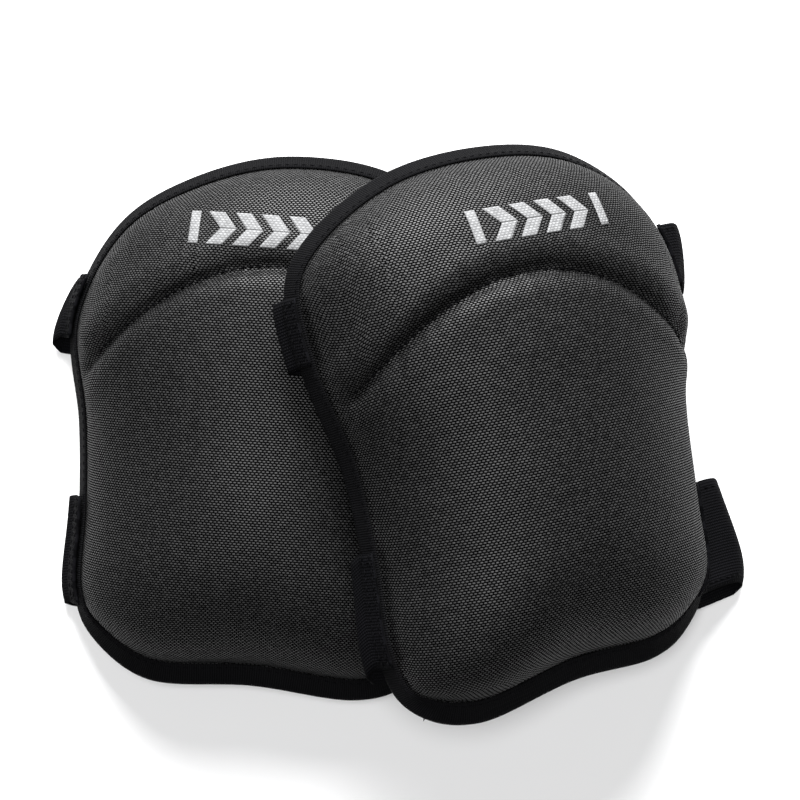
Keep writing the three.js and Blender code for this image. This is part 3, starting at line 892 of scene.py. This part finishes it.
# ---- Straps -------------------------------------------------------------------------------
def centripetal(points, per_span):
    """An open centripetal Catmull-Rom curve."""
    points = [np.asarray(p, float) for p in points]
    padded = [2 * points[0] - points[1], *points, 2 * points[-1] - points[-2]]
    out = []
    for i in range(len(points) - 1):
        p0, p1, p2, p3 = padded[i : i + 4]
        d0, d1, d2 = (max(np.sum((b - a) ** 2), 1e-9) ** 0.25 for a, b in ((p0, p1), (p1, p2), (p2, p3)))
        t1 = ((p1 - p0) / d0 - (p2 - p0) / (d0 + d1) + (p2 - p1) / d1) * d1
        t2 = ((p2 - p1) / d1 - (p3 - p1) / (d1 + d2) + (p3 - p2) / d2) * d1
        out += [cubic(p1, p2, t1, t2, w) for w in np.arange(per_span) / per_span]
    return [*out, points[-1]]


def strap_line(shell, sign, sewn_y, fold_out, rest, rest_y):
    """One lengthwise line of a strap: from the bound edge, out round the fold, then along rest."""
    rim, inner = shell.section(sign, sewn_y)
    lift = BINDING_TAPE + GAP + SIDE_CLEAR + WEB / 2
    out = inner - rim
    face = np.array([out[2] * sign, 0, -out[0] * sign])
    face *= lift / np.linalg.norm(face)
    reach = abs(rim[0]) + fold_out
    crest_y, under_y = (sewn_y + (rest_y - sewn_y) * share for share in FOLD_SHIFTS)
    corners = [
        *(inner + (rim - inner) * share + face for share in SEWN_FROM),
        (sign * (reach - FOLD_DEPTH), sewn_y, FOLD_HEIGHT),
        (sign * (reach - WEB / 2), crest_y, FOLD_CREST),
        (sign * (reach - FOLD_DEPTH), under_y, WEB / 2),
    ]
    bend = centripetal(corners, STRAP_STEPS[0])
    flat_run = centripetal([bend[-1], *((x, rest_y, z) for x, z in rest)], STRAP_STEPS[1])
    return bend + flat_run[1:]


def strap_ribbon(name, pad, shell, sign, strap, sewn_y, folds, rest):
    """Webbing that thins towards its edges. Returns it with its middle surface and that one's normals."""
    across = STRAP_CELLS
    lines = []
    for n in range(across + 1):
        side = n / across
        shift = (0.5 - side) * strap["width"]
        out = folds[0] + (folds[1] - folds[0]) * side
        lines.append(strap_line(shell, sign, sewn_y + shift, out, rest, strap["closed"] + shift))
    middle = np.array(lines).transpose(1, 0, 2)
    down, side = np.gradient(middle, axis=0), np.gradient(middle, axis=1)
    normal = np.cross(down, side)
    normal /= np.linalg.norm(normal, axis=2, keepdims=True)
    far = run_lengths(middle[:, across // 2])
    edge = np.abs(np.linspace(-1, 1, across + 1)) ** 6
    offset = (WEB / 2 * (1 - 0.45 * edge))[None, :, None] * normal
    sideways = np.linspace(0.5, -0.5, across + 1) * strap["width"]
    loops = np.concatenate([middle + offset, (middle - offset)[:, ::-1]], 1)
    rows, columns = loops.shape[:2]
    quads, corners = grid_quads(rows, columns, False, True)
    over = np.r_[sideways, sideways[::-1] + 2 * strap["width"], sideways[0] + 3 * strap["width"]]
    uvs = list(np.column_stack([far[corners[:, 0]], over[corners[:, 1]]]))
    faces = list(quads)
    for row, turned in ((0, False), (rows - 1, True)):
        for c in range(across):
            square = [row * columns + i for i in (c, c + 1, columns - 2 - c, columns - 1 - c)]
            square = square if turned else square[::-1]
            faces.append(square)
            uvs += [(far[row], sideways[c])] * 4
    obj = piece(name, pad, loops.reshape(-1, 3), faces, LOOKS["webbing"], uvs)
    return obj, middle, normal


def strap_stitches(name, pad, middle, normal, body):
    """Two rows across the sewn end and two along it, on the outer face."""
    columns = middle.shape[1]
    face = normal if normal[2, columns // 2, 2] > 0 else -normal
    surface = middle + face * (WEB / 2 + 0.05)
    runs = [(row, slice(None)) for row in (2, 8)]
    runs += [(slice(2, 22), column) for column in (1, columns - 2)]
    stitches = []
    for run in runs:
        stitches += stitch_line(surface[run], face[run], 2.4, 0.9)
    sewn(name, pad, stitches, EDGE_THREAD, body)


def make_patch(name, node, pad, start, width, kind, body):
    """A rectangle of hook or loop tape with rounded corners, slightly pillowed.

    start is the middle of its left end.
    """
    x0, y0, z = start
    rows, columns = PATCH_CELLS
    half_l, half_w = PATCH_LENGTH / 2, width / 2
    top, bottom = [], []
    for i in range(rows):
        for j in range(columns):
            a, b = 2 * j / (columns - 1) - 1, 2 * i / (rows - 1) - 1
            corner = 1 - 0.035 * (abs(a * b) ** 6)
            x, y = x0 + half_l + a * half_l * corner, y0 + b * half_w * corner
            soft = (1 - 0.5 * abs(a) ** 10) * (1 - 0.5 * abs(b) ** 10)
            top.append((x, y, z + PATCH / 2 * soft))
            bottom.append((x, y, z - PATCH / 2 * soft))
    outer = np.array(top).reshape(rows, columns, 3)
    inner = np.array(bottom).reshape(rows, columns, 3)
    flat = np.array(top)[:, :2]
    obj = skinned(name, pad, outer, inner, flat, LOOKS[kind])
    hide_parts(node)
    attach(obj, body)


def make_straps(pad, shell, straps):
    """Each strap's two ends and their patches. The right end bends at the hinge, where its tail begins."""
    tab_line = [(-66, TAB_Z), (-30, TAB_Z), (-12, TAB_Z), (0, TAB_OVER_Z), (TAB_END_X, TAB_OVER_Z)]
    pull_line = [(HINGE_X + 2, WEB / 2), (HINGE_X - 4, TAIL_Z), (40, TAIL_Z), (TAIL_END_X, TAIL_Z)]
    hook_x, hook_z = TAIL_END_X + PATCH_MARGIN, TAIL_LIFT + WEB + GAP / 2 + PATCH / 2
    loop_x = TAB_END_X - PATCH_MARGIN / 2 - PATCH_LENGTH
    loop_z = TAB_OVER_Z - WEB / 2 - GAP / 2 - PATCH / 2
    for level, strap in straps.items():
        name, body = f"{pad}_{level}", pad + "_pad"
        tail_body = name + "_tail"
        (left_fold, right_fold), y = strap["out"], strap["closed"]
        tab, middle, normal = strap_ribbon(
            name + "_tab", pad, shell, -1, strap, strap["left"], left_fold, tab_line
        )
        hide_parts(name + "_strap_tab")
        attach(tab, body)
        strap_stitches(name + "_tab_stitches", pad, middle, normal, body)
        pull, middle, normal = strap_ribbon(
            name + "_pull", pad, shell, 1, strap, strap["right"], right_fold, pull_line
        )
        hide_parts(name + "_strap_root", name + "_strap_tail")
        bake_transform(pull)
        strap_stitches(name + "_pull_stitches", pad, middle, normal, body)
        width = strap["width"] - 2 * PATCH_MARGIN
        hooks, loops = (name + "_hooks", name + "_hook_patch"), (name + "_loops", name + "_loop_patch")
        make_patch(*hooks, pad, (hook_x, y, hook_z), width, "hook", tail_body)
        make_patch(*loops, pad, (loop_x, y, loop_z), width, "loop", body)


# ---- The scene ----------------------------------------------------------------------------
def make_stage():
    mesh = bpy.data.meshes.new("floor")
    x = FLOOR_HALF
    mesh.from_pydata([(-x, -x, 0), (x, -x, 0), (x, x, 0), (-x, x, 0)], [], [(0, 1, 2, 3)])
    mesh.materials.append(floor_look())
    floor = linked("floor", mesh)
    floor.location.z = -FLOOR_DROP


def soft_light(name, at, to, size, power):
    data = bpy.data.lights.new(name, "AREA")
    data.shape, data.size, data.energy = "DISK", size, power
    lamp = linked(name, data)
    lamp.location = at
    lamp.rotation_euler = (Vector(to) - Vector(at)).to_track_quat("-Z", "Y").to_euler()


def make_lights():
    soft_light("key", **KEY)
    soft_light("fill", **FILL)
    scene = bpy.context.scene
    scene.view_settings.view_transform = "Standard"
    scene.world = bpy.data.worlds.new("studio")
    scene.world.use_nodes = True
    background = scene.world.node_tree.nodes["Background"]
    background.inputs["Color"].default_value = (1, 1, 1, 1)
    background.inputs["Strength"].default_value = WORLD_STRENGTH


def make_camera():
    """It looks straight down."""
    data = bpy.data.cameras.new("camera")
    data.sensor_width, data.lens = SENSOR, LENS
    camera = linked("camera", data)
    camera.location = CAMERA_AT
    bpy.context.scene.camera = camera


make_camera()
LOOKS = {
    "cover": cover_look(),
    "lining": lining_look(),
    "tape": tape_look(),
    "webbing": webbing_look(),
    "hook": pile_look("hook_pile", 1.1, (0.002, 0.002, 0.0025), (0.0185, 0.0185, 0.021), 0.5, 0.45),
    "loop": pile_look("loop_pile", 2.2, (0.0035, 0.0035, 0.004), (0.030, 0.030, 0.033), 0.5, 0.95),
    "thread": thread_look(),
    "print": print_look(),
}
for number, (pad_name, pad_spec) in enumerate(PADS.items()):
    seed_base = SEEDS_PER_PAD * number
    pad_shell = Shell(pad_name)
    cover = make_cushion(pad_name, pad_shell, CUSHION_SEED + seed_base)
    make_arch_stitches(pad_name, pad_shell, cover)
    make_print(pad_name, cover, pad_spec["away"])
    make_binding(pad_name, pad_shell, BINDING_SEED + seed_base)
    make_straps(pad_name, pad_shell, pad_spec["straps"])
make_stage()
make_lights()
